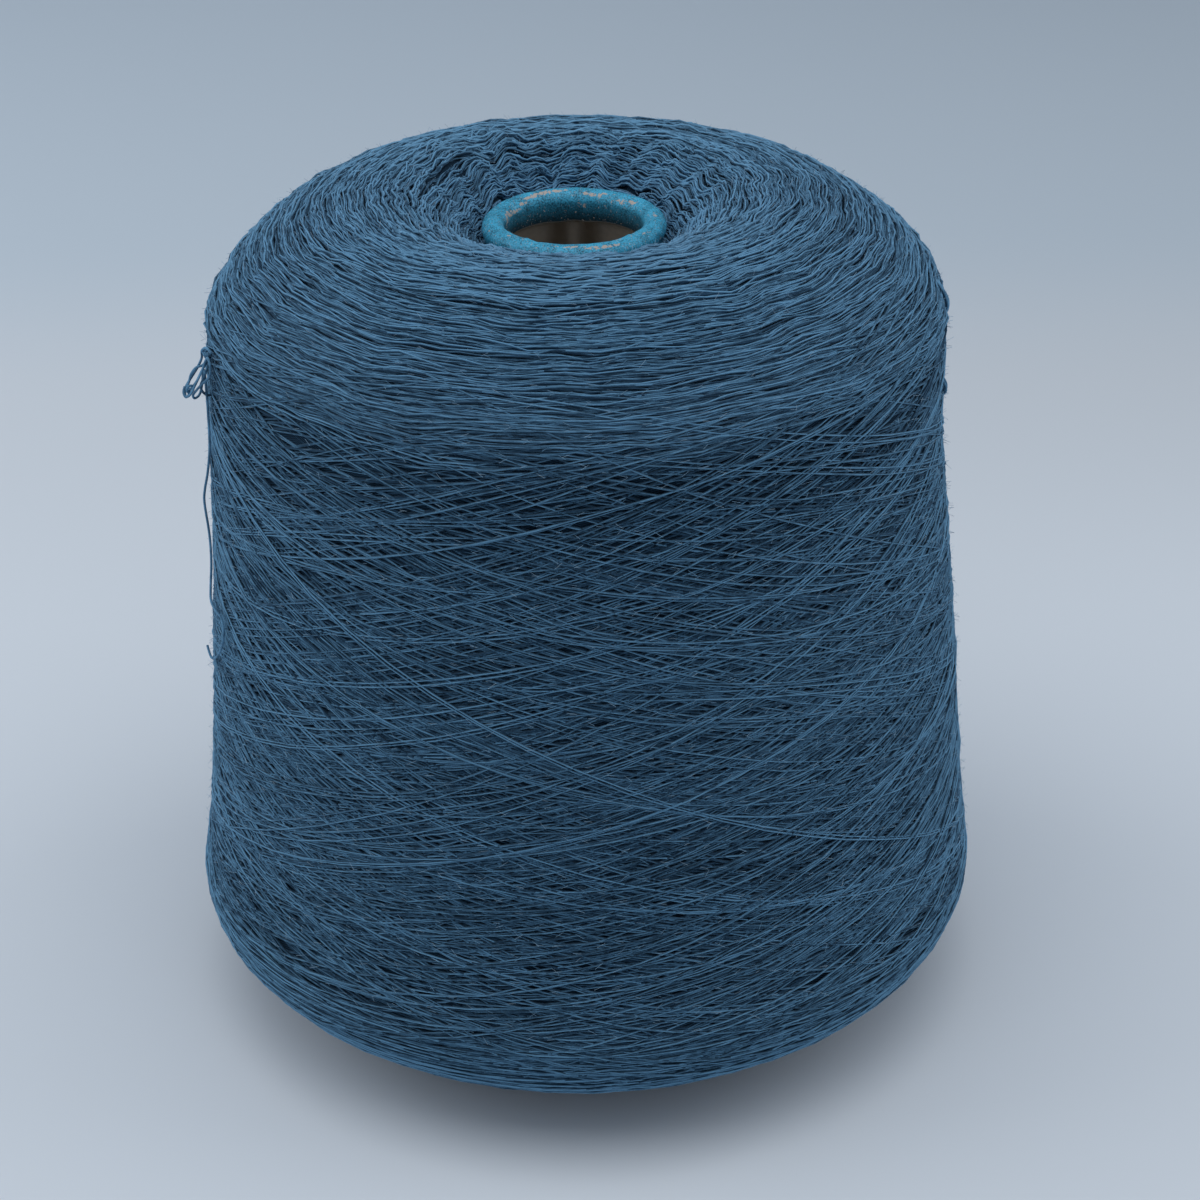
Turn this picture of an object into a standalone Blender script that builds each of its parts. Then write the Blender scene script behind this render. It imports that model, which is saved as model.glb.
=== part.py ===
"""A cone of yarn: fine yarn cross-wound on a paper cone, its loose end tucked in at one side.

The cone stands on its wide end with its axis upright, and the middle of that end is the origin.
Lengths are in millimetres, and MM turns them to Blender's metres where points are made.
"""

import math

import bmesh
import bpy
from mathutils import Vector

MM = 0.001

# The paper cone: wound pulp board with a taper of 4 degrees 20 minutes a side.
CONE_LENGTH = 170.0
CONE_FOOT_RADIUS = 30.0
CONE_HALF_ANGLE = math.radians(4.0 + 20.0 / 60.0)
CONE_WALL = 2.4
CONE_SIDES = 72

# Its nose is rolled over into a round bead, and the paper turned in below it ends in a lip.
# The straight side ends a neck drop below the bead's middle.
BEAD_RADIUS = 2.25
BEAD_CIRCLE_RADIUS = 15.9
BEAD_START = math.radians(-40.0)
BEAD_STEPS = 10
NECK_DROP = 2.0
TURNED_IN_DEPTH = 6.4
TURNED_IN_FLARE = 0.15
LIP_ROUND = 0.5

# The wound yarn, as a turned outline from the foot end to the nose end.
# The build-up is a little off the cone's axis, by the sideways amount towards +X.
# Steps is the number of sections made from a row to the next one.
OUTLINE_COLUMNS = ("height", "radius", "sideways", "steps")
OUTLINE = (
    (10.6, 29.6, 0.0, 1),
    (9.4, 42.0, 0.0, 1),
    (8.0, 56.0, 0.0, 2),
    (8.9, 64.6, 0.0, 2),
    (11.9, 71.9, 0.4, 2),
    (17.2, 78.9, 1.0, 2),
    (25.5, 83.3, 0.9, 2),
    (40.0, 81.7, 0.9, 1),
    (60.0, 79.5, 0.9, 1),
    (82.0, 77.7, 0.6, 1),
    (104.0, 76.1, 0.1, 1),
    (130.0, 74.2, -0.2, 2),
    (150.0, 73.5, 0.2, 2),
    (157.0, 71.6, 0.6, 2),
    (164.0, 66.0, 0.7, 2),
    (170.0, 58.3, 0.4, 2),
    (174.0, 49.6, 0.1, 2),
    (175.7, 41.0, 0.0, 3),
    (174.8, 33.0, 0.0, 3),
    (171.4, 26.4, 0.0, 3),
    (166.2, 21.2, 0.0, 2),
    (162.6, 18.1, 0.0, 1),
)
YARN_SIDES = 128
FIT_GAP = 0.3

# The turns round the nose are crinkled, so they stand in narrow ridges that run outwards.
# Past the even share, a ridge grows towards the side that the folds are on.
RIDGES = 24
RIDGE_HEIGHT = 0.75
RIDGE_EVEN_SHARE = 0.6
RIDGE_LEAN = 0.014
RIDGE_INNER_RADIUS = 17.5
RIDGE_FULL_RADIUS = 21.5
RIDGE_FADE_RADIUS = 27.0
RIDGE_OUTER_RADIUS = 41.0

# The ridges also push out the edge next to the nose, less and less over this range.
RIM_WAVE = 0.7
RIM_FULL_RADIUS = 22.0
RIM_OUTER_RADIUS = 30.0

# A few wider folds stand highest at the back, a little to the left.
FOLDS = 11
FOLD_HEIGHT = 0.6
FOLD_DIRECTION = math.radians(112.0)
FOLD_DRIFT = 2.0

# Slow waves round the nose that make the ridges and folds uneven.
DRIFT_COLUMNS = ("waves round", "amount", "phase")
DRIFT_WAVES = (
    (3.0, 0.8, 1.0),
    (5.0, 0.5, 2.0),
)

# The loose end: where it leaves the wound yarn, its bunch of loops, and its run down the side.
YARN_DIAMETER = 0.45
STRAND_ROUNDING = 2
LOOSE_END_POINTS = 80
ROUTE_COLUMNS = ("right", "back", "up")
LOOSE_END_ROUTE = (
    (-69.5, -23.9, 152.2),
    (-70.7, -22.2, 152.6),
    (-71.8, -20.5, 151.3),
    (-72.1, -19.7, 149.4),
    (-73.3, -19.2, 147.0),
    (-74.8, -18.9, 144.7),
    (-75.8, -19.3, 143.0),
    (-75.7, -20.6, 141.9),
    (-74.6, -21.8, 142.7),
    (-73.2, -22.2, 145.3),
    (-71.8, -22.5, 148.0),
    (-70.9, -23.0, 150.2),
    (-70.3, -24.1, 151.3),
    (-69.8, -25.3, 150.5),
    (-69.9, -25.2, 148.5),
    (-70.7, -23.6, 146.7),
    (-72.0, -21.7, 145.0),
    (-73.4, -20.6, 143.2),
    (-74.4, -19.6, 141.6),
    (-74.3, -18.3, 140.4),
    (-73.5, -17.2, 140.7),
    (-72.9, -16.9, 142.6),
    (-72.5, -17.5, 144.8),
    (-72.0, -18.7, 146.5),
    (-71.7, -20.1, 146.2),
    (-71.6, -20.6, 144.2),
    (-72.0, -20.2, 138.6),
    (-72.6, -20.0, 126.0),
    (-73.4, -20.0, 120.5),
    (-73.5, -20.0, 114.0),
    (-73.9, -20.0, 106.0),
    (-74.4, -20.0, 99.6),
    (-74.3, -21.0, 97.0),
    (-73.0, -24.6, 96.7),
    (-71.4, -29.0, 97.4),
    (-70.8, -30.9, 95.4),
    (-71.6, -29.3, 91.2),
    (-73.6, -24.4, 86.0),
    (-75.6, -18.9, 82.7),
    (-76.6, -16.6, 84.3),
)

# Finishes.
BLUE_YARN = (0.050, 0.110, 0.172, 1.0)
YARN_ROUGHNESS = 0.9
BLUE_DIP = (0.075, 0.290, 0.430, 1.0)
DIP_ROUGHNESS = 0.6
SHARP_ANGLE = math.radians(50.0)


def clear_scene():
    """Remove what the scene holds already."""
    for thing in list(bpy.data.objects):
        bpy.data.objects.remove(thing, do_unlink=True)


def finish_material(name, colour, roughness):
    """A matt, non-metallic finish."""
    material = bpy.data.materials.new(name)
    material.use_nodes = True
    shader = material.node_tree.nodes["Principled BSDF"]
    shader.inputs["Base Color"].default_value = colour
    shader.inputs["Roughness"].default_value = roughness
    shader.inputs["Metallic"].default_value = 0.0
    return material


def closed_skin(name, rings, material):
    """One closed surface through rings of points, where the last ring joins the first again."""
    shape = bmesh.new()
    rows = [[shape.verts.new(Vector(point) * MM) for point in ring] for ring in rings]
    for row, following in zip(rows, rows[1:] + rows[:1]):
        for side in range(len(row)):
            turn = (side + 1) % len(row)
            shape.faces.new((row[side], row[turn], following[turn], following[side]))
    bmesh.ops.recalc_face_normals(shape, faces=shape.faces)
    mesh = bpy.data.meshes.new(name)
    shape.to_mesh(mesh)
    shape.free()
    mesh.shade_smooth()
    mesh.set_sharp_from_angle(angle=SHARP_ANGLE)
    mesh.materials.append(material)
    piece = bpy.data.objects.new(name, mesh)
    bpy.context.scene.collection.objects.link(piece)
    return piece


def turned_ring(radius, height, sides):
    """The points of a level circle about the cone's axis."""
    angles = (2.0 * math.pi * side / sides for side in range(sides))
    return [(radius * math.cos(angle), radius * math.sin(angle), height) for angle in angles]


def cone_radius(height):
    """The cone's outer radius at a height."""
    return CONE_FOOT_RADIUS - height * math.tan(CONE_HALF_ANGLE)


def cone_section():
    """The cut through the cone's wall as (radius, height), up the outside and down the inside."""
    bead_height = CONE_LENGTH - BEAD_RADIUS
    neck_height = bead_height - NECK_DROP
    lip_height = CONE_LENGTH - TURNED_IN_DEPTH
    lip_radius = BEAD_CIRCLE_RADIUS - BEAD_RADIUS + TURNED_IN_FLARE
    section = [(CONE_FOOT_RADIUS, 0.0), (cone_radius(neck_height), neck_height)]
    for step in range(BEAD_STEPS + 1):
        angle = BEAD_START + (math.pi - BEAD_START) * step / BEAD_STEPS
        across = BEAD_CIRCLE_RADIUS + BEAD_RADIUS * math.cos(angle)
        section.append((across, bead_height + BEAD_RADIUS * math.sin(angle)))
    section.append((lip_radius, lip_height + LIP_ROUND))
    section.append((lip_radius + LIP_ROUND, lip_height))
    section.append((cone_radius(lip_height) - CONE_WALL, lip_height))
    section.append((CONE_FOOT_RADIUS - CONE_WALL, 0.0))
    return section


def make_paper_cone():
    """The hollow cone that carries the yarn and stands on its wide end."""
    rings = [turned_ring(radius, height, CONE_SIDES) for radius, height in cone_section()]
    finish = finish_material("dipped_paper", BLUE_DIP, DIP_ROUGHNESS)
    return closed_skin("paper_cone", rings, finish)


def curve_through(rows, index, fraction):
    """The smooth curve through a list of rows of numbers, part of the way past one row."""
    before = rows[max(index - 1, 0)]
    start = rows[index]
    end = rows[min(index + 1, len(rows) - 1)]
    after = rows[min(index + 2, len(rows) - 1)]
    blend = []
    for a, b, c, d in zip(before, start, end, after):
        bend = 2.0 * a - 5.0 * b + 4.0 * c - d
        twist = 3.0 * (b - c) + d - a
        blend.append(b + 0.5 * fraction * ((c - a) + fraction * (bend + fraction * twist)))
    return blend


def outline_sections():
    """The sections of the wound yarn as (height, radius, sideways), from the outline's rows."""
    rows = [row[:3] for row in OUTLINE]
    sections = []
    for index, row in enumerate(OUTLINE[:-1]):
        steps = row[OUTLINE_COLUMNS.index("steps")]
        sections += [curve_through(rows, index, step / steps) for step in range(steps)]
    return sections + [rows[-1]]


def ease(value, start, end):
    """0 before start, 1 past end, and a soft slope between them."""
    share = min(max((value - start) / (end - start), 0.0), 1.0)
    return share * share * (3.0 - 2.0 * share)


def crinkle(angle, radius):
    """How high the crinkled turns stand over the plain outline at a place round the nose."""
    strength = ease(radius, RIDGE_INNER_RADIUS, RIDGE_FULL_RADIUS)
    strength *= 1.0 - ease(radius, RIDGE_FADE_RADIUS, RIDGE_OUTER_RADIUS)
    lean = RIDGE_LEAN * (radius - RIDGE_FULL_RADIUS)
    drift = sum(amount * math.sin(waves * angle + phase) for waves, amount, phase in DRIFT_WAVES)
    facing = 0.5 + 0.5 * math.cos(angle - FOLD_DIRECTION)
    share = RIDGE_EVEN_SHARE + (1.0 - RIDGE_EVEN_SHARE) * facing
    ridge = RIDGE_HEIGHT * share * math.sin(RIDGES * (angle + lean) + drift)
    fold = FOLD_HEIGHT * facing * math.sin(FOLDS * (angle - lean) + FOLD_DRIFT * drift)
    return strength * (ridge + fold)


def yarn_ring(height, radius, sideways):
    """One section of the wound yarn, with the crinkles where it is near the nose."""
    push = RIM_WAVE * (1.0 - ease(radius, RIM_FULL_RADIUS, RIM_OUTER_RADIUS))
    ring = []
    for side in range(YARN_SIDES):
        angle = 2.0 * math.pi * side / YARN_SIDES
        lift = crinkle(angle, radius) if height > CONE_LENGTH / 2.0 else 0.0
        reach = radius + push * max(lift, 0.0)
        right = sideways + reach * math.cos(angle)
        ring.append((right, reach * math.sin(angle), height + lift))
    return ring


def make_wound_yarn():
    """The wound form with its bore, which is clear of the cone by the fit gap."""
    sections = outline_sections()
    rings = [yarn_ring(*section) for section in sections]
    for height in (sections[-1][0] - FIT_GAP, sections[0][0] + FIT_GAP):
        rings.append(turned_ring(cone_radius(height) + FIT_GAP, height, YARN_SIDES))
    finish = finish_material("wound_yarn", BLUE_YARN, YARN_ROUGHNESS)
    return closed_skin("yarn_package", rings, finish)


def make_loose_end():
    """The loose end as a tube along a smooth curve through its route."""
    curve = bpy.data.curves.new("loose_end", "CURVE")
    curve.dimensions = "3D"
    curve.bevel_depth = 0.5 * YARN_DIAMETER * MM
    curve.bevel_resolution = STRAND_ROUNDING
    curve.use_fill_caps = True
    spans = len(LOOSE_END_ROUTE) - 1
    line = curve.splines.new("POLY")
    line.points.add(LOOSE_END_POINTS - 1)
    for number, point in enumerate(line.points):
        along = spans * number / (LOOSE_END_POINTS - 1)
        index = min(int(along), spans - 1)
        place = curve_through(LOOSE_END_ROUTE, index, along - index)
        point.co = (*(Vector(place) * MM), 1.0)
    curve.materials.append(finish_material("loose_yarn", BLUE_YARN, YARN_ROUGHNESS))
    piece = bpy.data.objects.new("loose_end", curve)
    bpy.context.scene.collection.objects.link(piece)
    return piece


clear_scene()
make_paper_cone()
make_wound_yarn()
make_loose_end()
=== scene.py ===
"""A cone of fine blue yarn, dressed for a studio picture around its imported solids.

It is laid out as an add-on: one operator for each piece, one for the stage, and one panel that
lists them. Sizes in the tables are in millimetres, and MM turns them to Blender's metres.
"""

import math

import bmesh
import bpy
import numpy as np
from bpy.props import FloatProperty, FloatVectorProperty, IntProperty, PointerProperty
from bpy.types import Operator, Panel, PropertyGroup
from mathutils import Matrix, Vector


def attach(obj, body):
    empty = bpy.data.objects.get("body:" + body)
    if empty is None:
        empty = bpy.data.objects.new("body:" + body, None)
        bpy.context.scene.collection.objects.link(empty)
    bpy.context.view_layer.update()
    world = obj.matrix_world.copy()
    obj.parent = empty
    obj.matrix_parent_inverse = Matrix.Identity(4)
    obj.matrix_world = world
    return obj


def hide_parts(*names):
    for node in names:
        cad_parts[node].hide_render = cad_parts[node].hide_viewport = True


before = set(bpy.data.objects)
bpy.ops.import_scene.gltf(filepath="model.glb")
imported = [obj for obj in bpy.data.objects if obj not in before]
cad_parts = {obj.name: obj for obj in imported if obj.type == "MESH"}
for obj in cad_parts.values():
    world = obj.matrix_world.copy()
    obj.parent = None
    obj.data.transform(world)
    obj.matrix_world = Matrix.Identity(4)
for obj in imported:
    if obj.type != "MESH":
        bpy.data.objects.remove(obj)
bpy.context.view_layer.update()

bl_info = {
    "name": "Cone of yarn",
    "version": (1, 0, 0),
    "blender": (4, 5, 0),
    "location": "3D View > Sidebar > Yarn",
    "description": "Builds a wound cone of yarn round its packed solids",
    "category": "Object",
}

MM = 0.001
BODY = "root"

# The wound form as a turned outline, from the foot end to the nose end: height, radius, and how
# far the build-up is off the cone's axis towards +X. It is the solids' outline, or within 1 mm of
# it where it leans over.
OUTLINE = (
    (10.6, 29.6, 0.0), (9.4, 42.0, 0.0), (8.0, 56.0, 0.0), (8.9, 64.6, 0.0), (11.9, 71.9, 0.4),
    (17.2, 79.2, 0.7), (25.5, 83.6, 0.6), (40.0, 81.7, 0.9), (60.0, 79.6, 0.9), (82.0, 77.9, 0.8),
    (104.0, 75.9, 0.6), (130.0, 74.0, -0.1), (150.0, 73.5, 0.2), (157.0, 71.6, 0.6),
    (164.0, 66.0, 0.7), (170.0, 58.3, 0.4), (174.0, 49.6, 0.1), (175.7, 41.0, 0.0),
    (174.8, 33.0, 0.0), (171.4, 26.4, 0.0), (166.2, 21.2, 0.0), (162.6, 18.1, 0.0),
)

# The crinkled turns round the nose, as in the solids.
RIDGES = 24
RIDGE_HEIGHT = 0.75
RIDGE_EVEN_SHARE = 0.6
RIDGE_LEAN = 0.014
RIDGE_INNER_RADIUS = 17.5
RIDGE_FULL_RADIUS = 21.5
RIDGE_FADE_RADIUS = 27.0
RIDGE_OUTER_RADIUS = 41.0
FOLDS = 11
FOLD_HEIGHT = 0.6
FOLD_DIRECTION = math.radians(112.0)
FOLD_DRIFT = 2.0
DRIFT_WAVES = ((3.0, 0.8, 1.0), (5.0, 0.5, 2.0))

# The paper cone, as in the solids.
CONE_LENGTH = 170.0
CONE_FOOT_RADIUS = 30.0
CONE_HALF_ANGLE = math.radians(4.0 + 20.0 / 60.0)
CONE_WALL = 2.4
BEAD_RADIUS = 2.25
BEAD_CIRCLE_RADIUS = 15.9
BEAD_START = -40.0
NECK_DROP = 2.0
TURNED_IN_DEPTH = 6.4
TURNED_IN_FLARE = 0.15
LIP_ROUND = 0.5
FOOT_ROUND = 0.4
BEAD_STEPS = 36
RAGGED_LIP = 0.12
# How the rolled nose is uneven: waves round it, height, phase, and lean round the bead.
ROLL_WAVES = (
    (3.0, 0.06, 0.5, 1.0), (7.0, 0.04, 1.7, 2.0), (19.0, 0.025, 0.3, 3.0), (41.0, 0.012, 2.1, 5.0),
)
CONE_SIDES = 240
# The dip reaches down to here, and the cone is bare below it.
DIP_FOOT = 150.0
# Past the bead, which ends at 180 degrees, its angle goes on as a mark of where a place is: where
# the turned-in paper's edge gets ragged, where it ends, its lip, the rim under it and the inside.
RAGGED_ANGLE = 195.0
TURNED_IN_ANGLE = 210.0
LIP_ANGLE = 212.0
RIM_ANGLE = 215.0
INSIDE_ANGLE = 220.0
# How strong the painted shade is, and the angles between which it grows, on the turned-in paper
# and beside the yarn.
INNER_PAINTED_SHADE = (0.93, 162.0, 211.0)
OUTER_PAINTED_SHADE = (0.4, 30.0, -50.0)

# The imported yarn's threads, 0.45 mm apart and 17 degrees either way from level.
THREADS_ROUND = 341.0
THREADS_UP = 589.0
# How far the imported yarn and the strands' middle surface lie inside the wound form, and how many
# sides round and sections up each of them has.
CORE_INSET = 1.25
CORE_GRID = (180, 100)
GUIDE_INSET = 0.35
GUIDE_GRID = (384, 260)
# The strands that go up to the right at the front lie further out than the others in some bands
# and further in between them: how far on the whole, how far more or less, the station of the
# middle of such a band, and how far on they are the furthest in.
WAY_LIFT = 0.02
WAY_LIFT_SWING = 0.1
WAY_BAND_MIDDLE = 95.0
WAY_BAND_HALF = 56.0
# How long a strand's turn is beside the one that was set, on the whole and more or less by way.
SKEW = (0.94, 0.02)
# How much of the dark strands' colour is left in the painted shade of the gaps between and under
# them.
GAP_SHADE_SHARE = 0.25

# The loose end's route, as in the solids, and within 0.6 mm of it where it hangs free.
LOOSE_END_ROUTE = (
    (-69.5, -23.9, 152.2), (-70.7, -22.2, 152.6), (-71.8, -20.5, 151.3), (-72.1, -19.7, 149.4),
    (-73.3, -19.2, 147.0), (-74.8, -18.9, 144.7), (-75.8, -19.3, 143.0), (-75.7, -20.6, 141.9),
    (-74.6, -21.8, 142.7), (-73.2, -22.2, 145.3), (-71.8, -22.5, 148.0), (-70.9, -23.0, 150.2),
    (-70.3, -24.1, 151.3), (-69.8, -25.3, 150.5), (-69.9, -25.2, 148.5), (-70.7, -23.6, 146.7),
    (-72.0, -21.7, 145.0), (-73.4, -20.6, 143.2), (-74.4, -19.6, 141.6), (-74.3, -18.3, 140.4),
    (-73.5, -17.2, 140.7), (-72.9, -16.9, 142.6), (-72.5, -17.5, 144.8), (-72.0, -18.7, 146.5),
    (-71.7, -20.1, 146.2), (-71.6, -20.6, 144.2), (-71.7, -20.2, 138.6), (-72.0, -20.0, 131.0),
    (-72.8, -20.0, 125.4), (-73.7, -20.0, 121.4), (-74.0, -20.0, 118.4), (-73.6, -20.0, 111.6),
    (-73.7, -20.0, 105.5), (-74.3, -20.0, 99.6), (-74.3, -21.0, 97.0), (-73.0, -24.6, 96.7),
    (-71.4, -29.0, 97.4), (-70.8, -30.9, 95.4), (-71.6, -29.3, 91.2), (-73.6, -24.4, 86.0),
    (-75.6, -18.9, 82.7), (-76.6, -16.6, 84.3),
)
# Short turns of the same strand that are caught up in the bunch at its start.
BUNCH = (
    (
        (-70.2, -19.5, 149.5), (-70.7, -21.0, 150.0), (-71.2, -21.5, 150.7), (-71.5, -20.5, 151.2),
        (-71.0, -19.5, 151.4), (-70.3, -19.0, 150.9), (-70.1, -20.5, 150.7), (-70.6, -21.5, 150.7),
        (-71.2, -21.0, 151.1), (-70.7, -20.0, 151.2), (-70.2, -19.0, 150.4),
    ),
    (
        (-70.5, -20.5, 150.2), (-71.7, -21.0, 148.6), (-73.1, -21.2, 148.1), (-74.2, -20.8, 146.6),
        (-74.9, -20.0, 144.6), (-75.6, -19.5, 143.1), (-75.3, -19.2, 142.0), (-74.3, -19.8, 142.7),
        (-74.2, -20.6, 144.0), (-74.9, -21.2, 144.2), (-75.3, -20.8, 143.2), (-74.7, -20.0, 142.3),
    ),
    (
        (-70.3, -19.8, 149.9), (-71.3, -20.6, 148.6), (-72.3, -21.0, 146.9), (-73.3, -20.8, 145.0),
        (-74.5, -20.3, 143.4), (-75.4, -20.2, 142.7),
    ),
    (
        (-70.4, -19.2, 149.0), (-71.2, -20.0, 147.3), (-71.9, -20.6, 145.6), (-72.6, -20.6, 144.1),
        (-72.4, -20.2, 142.6), (-71.6, -19.6, 141.6), (-71.0, -19.0, 141.4),
    ),
    (
        (-75.9, -19.4, 143.4), (-76.1, -20.2, 142.5), (-75.6, -20.9, 141.8), (-75.0, -20.3, 142.2),
        (-75.1, -19.5, 143.0), (-75.8, -19.2, 142.8), (-76.0, -20.0, 142.1),
    ),
)
# Slack turns that stand out a little from the wound yarn at the right.
SLACK_TURNS = (
    (
        (71.9, -4.5, 149.6), (72.6, -8.0, 151.6), (72.9, -10.0, 153.8), (72.6, -9.8, 155.9),
        (71.0, -6.5, 158.0),
    ),
    (
        (72.0, -7.0, 150.6), (72.5, -9.6, 152.7), (72.7, -10.8, 154.6), (72.1, -10.0, 156.6),
        (70.4, -7.0, 158.6),
    ),
    (
        (71.9, -5.5, 150.2), (72.4, -8.6, 152.0), (72.6, -9.6, 153.9), (72.0, -9.2, 156.2),
        (70.3, -6.0, 158.2),
    ),
    (
        (72.1, -5.0, 133.4), (73.0, -8.4, 134.7), (73.4, -9.8, 136.2), (73.3, -9.4, 137.6),
        (72.1, -6.0, 138.8),
    ),
    (
        (72.2, -8.0, 134.6), (73.0, -10.2, 135.4), (73.3, -10.6, 136.6), (72.8, -9.8, 137.9),
        (71.9, -7.6, 138.4),
    ),
    (
        (72.1, -6.5, 134.0), (72.8, -9.0, 135.2), (73.0, -9.9, 136.4), (72.7, -9.2, 137.4),
        (71.9, -6.8, 138.2),
    ),
)
ROUTE_STEPS = 6
# How pale and how thick the laid strands are; the tone is kept low as painted shade on the bunch.
LOOSE_END_TONE = 0.5
LOOSE_END_THICKNESS = 0.5

# The camera, from the fit to the photograph's outline: a roll lifts the right side a little.
CAMERA_PLACE = (0.44, -492.89, 350.82)
CAMERA_LENS = 79.66
CAMERA_TILT = math.radians(28.385)
CAMERA_PAN = math.radians(0.444)
CAMERA_ROLL = math.radians(-0.671)

# Soft lights: name, place and size in metres, and the share of the power set for them.
SOFT_LIGHTS = (
    ("overhead", (-0.03, -0.2, 1.1), (1.2, 1.0), 1.0),
    ("left", (-1.1, 0.1, 0.6), (1.0, 0.9), 1.0),
    ("right", (1.1, 0.1, 0.6), (1.0, 0.9), 0.8),
)
LIGHTS_AIM = (0.0, 0.0, 0.08)
# The paper sweep in metres: half its width, its front edge, where it starts to bend up, how
# widely it bends, and its top. The bend is cut at 14 angles, from the first to the last.
SWEEP_HALF_WIDTH = 12.0
SWEEP_FRONT = -3.0
SWEEP_BEND_START = 1.2
SWEEP_BEND_RADIUS = 0.8
SWEEP_TOP = 3.0
SWEEP_BEND_ANGLES = (0.1, 1.5, 14)
# Red, green and blue shares of the floor's colour behind the table's edge: painted shade where the
# light falls off.
BEHIND_SHADE_SHARES = (0.88, 0.935, 0.97)

# Layers of strands over the imported yarn, from the deepest to the topmost.
# Rows are the rows of the outline where a strand starts and ends, give or take the reach, and
# one that starts and ends at the same row stays near it. Turns is how far it goes round, and
# runs the shares of that in which it speeds up and slows down again. Bow is how far its middle
# stands from its ends, and slant how far its far end may be from its near one. Lift is how far
# it is from the wound form, at least and at most, stand how far its far end stands out more,
# and dive how deep both ends go under. Together is how many lie side by side. Crimp is the
# height of the waves that neighbours share, wander that of a strand's own, jitter that of its
# kinks, and calm the share by which waves and kinks are less on the side away from the folds.
# Tone is how pale a layer's strands are, lower for the deeper layers as painted shade.
LAYER_USUAL = {
    "rows": (10.0, 10.0), "reach": 1.0, "runs": (0.1, 0.1), "bow": 0.0, "slant": 0.0,
    "lift": (-0.5, 0.2), "stand": 0.0, "dive": 1.6, "together": 1, "gap": 1.2, "crimp": 0.1,
    "wander": 0.6, "jitter": 0.4, "calm": 0.0, "thick": 1.0, "tone": 0.5,
}
FLANK = {"rows": (4.6, 13.6), "reach": 0.8, "runs": (0.4, 0.2), "turns": 0.88, "wander": 0.4}
LAYERS = {
    "deep_lay": FLANK
    | {"strands": 620, "points": 34, "lift": (-0.75, -0.3), "jitter": 0.7}
    | {"thick": 1.25, "tone": 0.24},
    "upper_lay": FLANK | {"strands": 460, "points": 40, "lift": (-0.4, 0.0), "tone": 0.37},
    "top_lay": FLANK
    | {"strands": 190, "points": 44, "lift": (-0.05, 0.2), "together": 2, "gap": 1.6, "tone": 0.53},
    "paired_lay": FLANK
    | {"strands": 60, "points": 44, "lift": (0.05, 0.25), "together": 2, "gap": 0.7, "tone": 0.66},
    "shoulder_turns": {
        "strands": 600, "points": 50, "rows": (15.0, 15.0), "reach": 2.6, "turns": 0.5, "bow": 2.5,
        "slant": 6.0, "lift": (-0.55, 0.25), "crimp": 0.9, "wander": 0.8, "jitter": 1.7, "calm": 0.1,
        "tone": 0.52,
    },
    "shoulder_deep": {
        "strands": 260, "points": 30, "rows": (15.0, 15.0), "reach": 2.8, "turns": 0.5, "bow": 2.5,
        "slant": 5.0, "lift": (-0.85, -0.5), "crimp": 0.4, "jitter": 0.6, "thick": 1.3, "tone": 0.35,
    },
    "nose_turns": {
        "strands": 205, "points": 130, "rows": (19.0, 19.0), "reach": 2.1, "turns": 0.65, "bow": 1.0,
        "slant": 3.0, "lift": (-0.6, 0.4), "crimp": 1.8, "wander": 1.0, "jitter": 1.8, "calm": 0.65,
        "thick": 1.2, "tone": 0.6,
    },
    "nose_curls": {
        "strands": 50, "points": 80, "rows": (19.3, 19.3), "reach": 1.9, "turns": 0.25, "slant": 8.0,
        "lift": (-0.1, 0.5), "crimp": 1.5, "jitter": 4.0, "calm": 0.8, "thick": 1.2, "tone": 0.75,
    },
    "foot_turns": {
        "strands": 330, "points": 34, "rows": (4.6, 4.6), "reach": 1.9, "turns": 0.45, "bow": -2.5,
        "slant": 4.0, "lift": (-0.7, 0.1), "crimp": 0.25, "jitter": 0.6, "tone": 0.45,
    },
    "underside_turns": {
        "strands": 130, "points": 30, "rows": (1.9, 1.9), "reach": 1.7, "turns": 0.5, "bow": -1.5,
        "slant": 4.0, "crimp": 0.25,
    },
}
FUZZ = {
    "points": 2, "rows": (11.5, 11.5), "reach": 8.5, "turns": 0.003, "bow": 0.1, "slant": 0.8,
    "lift": (0.0, 0.3), "dive": 0.0, "wander": 0.0, "jitter": 0.3,
}
FIBRE_THICKNESS = 0.06
FUZZ_SEED = 40

# The dip is rubbed off the nose in patches: how far round the cone and round the bead's
# section each one's middle is, and its half length each way, all in degrees.
SCUFFS = (
    (129, 120, 5, 7), (121, 119, 6, 12), (112, 112, 9, 14), (102, 106, 10, 11), (135, 142, 5, 9),
    (160, 144, 3.5, 10), (156, 162, 4.5, 14), (149, 162, 4.5, 11), (143, 164, 4, 9),
    (165, 178, 3, 24), (81, 128, 6, 8), (74, 134, 7, 10), (68, 138, 4, 9), (65, 122, 3, 5),
    (51, 140, 3.5, 10), (46, 143, 3, 16), (40, 128, 4.5, 8), (35, 134, 2.5, 16), (2, 94, 3, 8),
    (-3, 88, 3.5, 9), (-36, 68, 5, 7), (-79, 58, 5, 7), (-74, 56, 6, 7), (-68, 60, 7, 7),
    (-63, 54, 5, 6), (-56, 101, 5, 6), (-97, 70, 6, 5), (-88, 73, 9, 5), (80, 184, 2, 5),
    (85, 180, 2, 4), (115, 188, 2, 3), (-140, 80, 2, 6), (-160, 45, 2, 6),
)
# Small nicks and bumps of the paper at the bead's inner edge, as above, with their heights before
# their half lengths.
BUMPS = (
    (-125, 92, 0.28, 2.5, 22), (-47, 96, 0.32, 2.5, 24), (-118, 100, -0.15, 2.0, 20),
    (20, 150, 0.12, 4.0, 30),
)


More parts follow.
